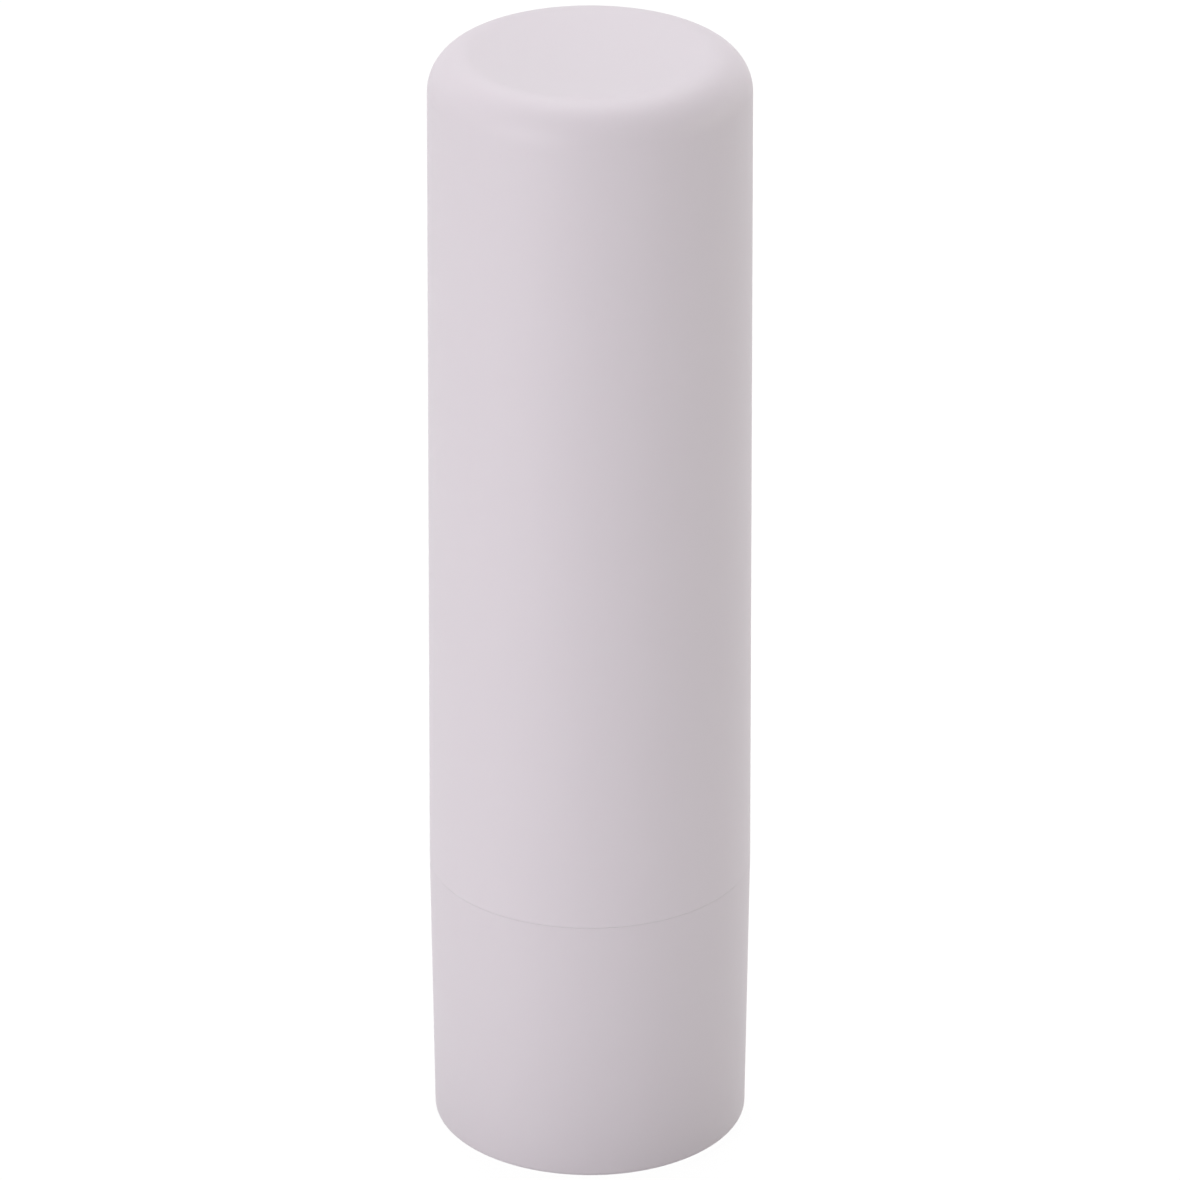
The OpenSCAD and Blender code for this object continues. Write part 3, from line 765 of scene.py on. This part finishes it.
class BALM_OT_tube(bpy.types.Operator):
    """Build the tube: rim, bead, collar, barbed skirt and guide ribs"""

    bl_idname = "balm.tube"
    bl_label = "Tube"

    def execute(self, context):
        inner = context.scene.stick_inner
        at = Profile(context.scene.stick_outer, inner)
        low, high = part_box("tube")
        barb_r = at.skirt_r + inner.barb_stand
        barb_low = low.z + inner.skirt_lead
        barb_high = barb_low + inner.barb_height
        bead_z = at.mouth_z + inner.bead_inset
        bead_low = bead_z - inner.bead_foot / 2
        bead_high = bead_z + inner.bead_foot / 2
        bead_r = at.tube_r(bead_z) + inner.bead_stand
        edge = inner.edge_radius
        fine = edge / 2
        outline = rounded([
            (at.bore_r, low.z, 0),
            (at.skirt_r - inner.running_gap, low.z, 0),
            (barb_r, barb_low, 0),
            (barb_r, barb_high, 0),
            (at.skirt_r, barb_high, 0),
            (at.skirt_r, at.collar_z, edge),
            (high.x, at.collar_z, fine),
            (high.x, at.mouth_z, fine),
            (at.tube_r(at.mouth_z), at.mouth_z, edge),
            (at.tube_r(bead_low), bead_low, fine),
            (bead_r, bead_z - inner.bead_crest / 2, fine),
            (bead_r, bead_z + inner.bead_crest / 2, fine),
            (at.tube_r(bead_high), bead_high, fine),
            (at.tube_r(high.z), high.z, inner.rim_radius),
            (at.bore_r, high.z, inner.rim_radius)], steps=8)
        rib_high = high.z - inner.guide_rib_inset
        rib_low = inner.guide_rib_start
        stops = [rib_high, rib_high - inner.guide_rib_height, rib_low + inner.guide_rib_height, rib_low]
        outline += [(at.bore_r, z) for z in stops]

        def shift(which, r, z):
            rise = min(z - rib_low, rib_high - z)
            return (-min(inner.guide_rib_height, max(0, rise)), 0)

        ribs = Ribs(inner.guide_rib_count, [inner.guide_rib_width], math.pi / inner.guide_rib_count,
                    at.bore_r - NEAR, at.bore_r + NEAR, shift)
        piece = turned_mesh("tube_body", eased(outline, closed=True), ribs)
        stand_in(piece, "tube", "tube", finish_of("inner_plastic"))
        return {"FINISHED"}


class BALM_OT_balm(bpy.types.Operator):
    """Build the balm: a cast bullet with a domed tip, grooved by the guide ribs and slotted by the webs"""

    bl_idname = "balm.bullet"
    bl_label = "Balm"

    def execute(self, context):
        inner = context.scene.stick_inner
        low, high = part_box("balm")
        cup_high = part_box("carrier")[1]
        balm_r = high.x
        cup_r = cup_high.x - inner.cup_wall
        hub_r = inner.hub_diameter / 2
        screw_r = inner.wax_bore / 2
        hub_z = cup_high.z - inner.hub_inset
        web_z = low.z + inner.web_height
        bore_z = high.z - inner.wax_roof
        dome_z = high.z - inner.dome_height
        groove = inner.guide_rib_height
        groove_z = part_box("tube")[1].z - inner.guide_rib_inset + inner.wax_gap

        dome_r = (balm_r ** 2 + inner.dome_height ** 2) / (2 * inner.dome_height)
        dome_angle = math.degrees(math.asin(balm_r / dome_r))
        dome = arc((0, high.z - dome_r), dome_r, 90 - dome_angle, 90, steps=40)
        walls = rounded([
            (0, bore_z, 0),
            (screw_r, bore_z, 0),
            (screw_r, hub_z, 0),
            (hub_r, hub_z, 0),
            (hub_r, web_z, 0),
            (hub_r, low.z, 0),
            (cup_r, low.z, 0),
            (cup_r, web_z, 0),
            (cup_r, cup_high.z, 0),
            (balm_r, cup_high.z, 0),
            (balm_r, groove_z - groove, 0),
            (balm_r, groove_z, 0),
            (balm_r, dome_z, inner.dome_edge),
            (*dome[1], 0)], steps=10)

        def sunk(r, z):
            """A point of the tip, lowered where the wax has shrunk."""
            depth = max(0, 1 - (r / (inner.sink_reach * balm_r)) ** 2) ** 2
            return (r, z - inner.wax_sink * depth)

        outline = eased(walls[:-1], closed=False) + [sunk(r, z) for r, z in dome[2:-1]]
        outline.append((0, high.z - inner.wax_sink))

        def shift(which, r, z):
            if which == 0:
                deep = min(groove, max(0, groove_z - z))
                return (-deep * (r > balm_r - NEAR), 0)
            return (0, max(0, web_z - z) * (r < cup_r + NEAR))

        widths = [inner.guide_rib_width + 2 * inner.wax_gap, inner.web_width]
        ribs = Ribs(inner.guide_rib_count, widths, math.pi / inner.guide_rib_count,
                    hub_r - NEAR, balm_r + NEAR, shift)
        piece = turned_mesh("balm_bullet", outline, ribs)
        stand_in(piece, "balm", "carrier", finish_of("balm_wax"))
        return {"FINISHED"}


class BALM_OT_mechanism(bpy.types.Operator):
    """Finish the screw and the carrier"""

    bl_idname = "balm.mechanism"
    bl_label = "Screw and carrier"

    def execute(self, context):
        dress("screw", finish_of("screw_plastic"))
        dress("carrier", finish_of("inner_plastic"))
        return {"FINISHED"}


class BALM_OT_studio(bpy.types.Operator):
    """Set up the pale floor, the soft lamps, the white room and the camera"""

    bl_idname = "balm.studio"
    bl_label = "Studio"

    def execute(self, context):
        scene = context.scene
        studio = scene.stick_studio
        middle = (cad_box[0] + cad_box[1]) / 2
        self.floor(studio, scene.stick_outer.foot_diameter / 2)
        self.room(scene, studio)
        # Name, power, colour, azimuth and elevation in degrees, width and height in metres
        lamps = [
            ("key", studio.key_power, WHITE, -45, 10, 0.5, 0.4),
            ("right", studio.right_power, studio.right_colour, 90, 4, 0.6, 0.1),
            ("back", studio.back_power, WHITE, 180, 40, 0.5, 0.5),
            ("high_back", studio.high_back_power, WHITE, 180, 65, 0.5, 0.5)]
        for name, energy, tint, azimuth, elevation, width, height in lamps:
            away = direction(math.radians(azimuth), math.radians(elevation))
            self.lamp(name, energy, tint, middle + away * studio.lamp_distance, middle, width, height)
        self.camera(scene, studio, middle)
        scene.view_settings.view_transform = "Standard"
        return {"FINISHED"}

    def floor(self, studio, foot_r):
        """A floor that is open under the foot, so that the underside can be seen."""
        mesh = bmesh.new()
        turns = [2 * math.pi * i / FLOOR_SIDES for i in range(FLOOR_SIDES)]
        rings = []
        for radius in (foot_r, FLOOR_REACH):
            rings.append([mesh.verts.new((radius * math.cos(a), radius * math.sin(a), -studio.floor_gap))
                          for a in turns])
        join_rings(mesh, *rings)
        data = bpy.data.meshes.new("floor")
        mesh.to_mesh(data)
        mesh.free()
        floor = bpy.data.objects.new("floor", data)
        bpy.context.collection.objects.link(floor)
        data.materials.append(self.floor_white(studio))

    def floor_white(self, studio):
        """White that keeps the shadow: matt to the light, and mostly plain white to the camera.
        It sends less light back close to the stick, and is clear from below."""
        material = bpy.data.materials.new("floor_white")
        material.use_nodes = True
        tree = material.node_tree
        tree.nodes.clear()
        seen = seen_directly(tree)
        matt = tree.nodes.new("ShaderNodeBsdfDiffuse")
        glow = tree.nodes.new("ShaderNodeEmission")
        both = tree.nodes.new("ShaderNodeAddShader")
        clear = tree.nodes.new("ShaderNodeBsdfTransparent")
        sides = tree.nodes.new("ShaderNodeMixShader")
        result = tree.nodes.new("ShaderNodeOutputMaterial")
        hidden = arithmetic(tree, "SUBTRACT", 1.0, seen)
        place = tree.nodes.new("ShaderNodeTexCoord").outputs["Object"]
        reach = node_of(tree, "ShaderNodeVectorMath", operation="LENGTH")
        tree.links.new(place, reach.inputs[0])
        away = ramp(tree, reach.outputs["Value"], studio.near_floor, studio.open_floor)
        extra = arithmetic(tree, "MULTIPLY", away, studio.floor_bounce - studio.near_bounce)
        bounce = arithmetic(tree, "ADD", extra, studio.near_bounce)
        grey = arithmetic(tree, "MULTIPLY", hidden, bounce)
        shown = arithmetic(tree, "MULTIPLY", seen, studio.floor_shadow)
        tree.links.new(arithmetic(tree, "ADD", grey, shown), matt.inputs["Color"])
        tree.links.new(arithmetic(tree, "MULTIPLY", seen, studio.floor_white), glow.inputs["Strength"])
        tree.links.new(matt.outputs[0], both.inputs[0])
        tree.links.new(glow.outputs[0], both.inputs[1])
        below = tree.nodes.new("ShaderNodeNewGeometry").outputs["Backfacing"]
        tree.links.new(below, sides.inputs[0])
        tree.links.new(both.outputs[0], sides.inputs[1])
        tree.links.new(clear.outputs[0], sides.inputs[2])
        tree.links.new(sides.outputs[0], result.inputs["Surface"])
        return material

    def room(self, scene, studio):
        """A white room: plain white to the camera and in reflections, softer as a light."""
        world = bpy.data.worlds.new("white_room")
        scene.world = world
        world.use_nodes = True
        tree = world.node_tree
        seen = seen_directly(tree)
        rest = arithmetic(tree, "MULTIPLY", seen, 1 - studio.ambient)
        background = tree.nodes["Background"]
        background.inputs["Color"].default_value = (*WHITE, 1)
        tree.links.new(arithmetic(tree, "ADD", rest, studio.ambient), background.inputs["Strength"])

    def lamp(self, name, energy, tint, place, target, width, height):
        """A soft box that faces the stick."""
        data = bpy.data.lights.new(name, "AREA")
        data.shape = "RECTANGLE"
        data.size = width
        data.size_y = height
        data.energy = energy
        data.color = tint
        lamp = bpy.data.objects.new(name, data)
        bpy.context.collection.objects.link(lamp)
        lamp.location = place
        lamp.rotation_euler = (target - place).to_track_quat("-Z", "Y").to_euler()

    def camera(self, scene, studio, middle):
        """The photograph's view: straight on to the front, from above."""
        data = bpy.data.cameras.new("camera")
        data.lens = studio.focal_length
        data.shift_y = studio.frame_shift
        camera = bpy.data.objects.new("camera", data)
        bpy.context.collection.objects.link(camera)
        back = direction(0, studio.elevation)
        camera.location = middle + back * studio.camera_distance
        camera.rotation_euler = (-back).to_track_quat("-Z", "Y").to_euler()
        scene.camera = camera


class BALM_PT_sidebar(bpy.types.Panel):
    """Sizes, finishes and builders of the balm stick"""

    bl_idname = "BALM_PT_sidebar"
    bl_label = "Balm Stick"
    bl_space_type = "VIEW_3D"
    bl_region_type = "UI"
    bl_category = "Balm Stick"

    def draw(self, context):
        for operator in OPERATORS:
            self.layout.operator(operator.bl_idname)
        for settings in GROUPS:
            box = self.layout.box()
            group = getattr(context.scene, settings)
            for key in group.bl_rna.properties.keys():
                if key not in ("rna_type", "name"):
                    box.prop(group, key)


OPERATORS = (
    BALM_OT_cap,
    BALM_OT_turning_base,
    BALM_OT_tube,
    BALM_OT_mechanism,
    BALM_OT_balm,
    BALM_OT_studio,
)
GROUPS = {
    "stick_outer": StickOuterSizes,
    "stick_inner": StickInnerSizes,
    "stick_finish": StickFinish,
    "stick_studio": StickStudio,
}


def register():
    for name, group in GROUPS.items():
        bpy.utils.register_class(group)
        setattr(bpy.types.Scene, name, PointerProperty(type=group))
    for operator in OPERATORS:
        bpy.utils.register_class(operator)
    bpy.utils.register_class(BALM_PT_sidebar)


def unregister():
    bpy.utils.unregister_class(BALM_PT_sidebar)
    for operator in reversed(OPERATORS):
        bpy.utils.unregister_class(operator)
    for name, group in GROUPS.items():
        delattr(bpy.types.Scene, name)
        bpy.utils.unregister_class(group)


def main():
    register()
    bpy.ops.balm.cap()
    bpy.ops.balm.turning_base()
    bpy.ops.balm.tube()
    bpy.ops.balm.mechanism()
    bpy.ops.balm.bullet()
    bpy.ops.balm.studio()


if __name__ == "__main__":
    main()
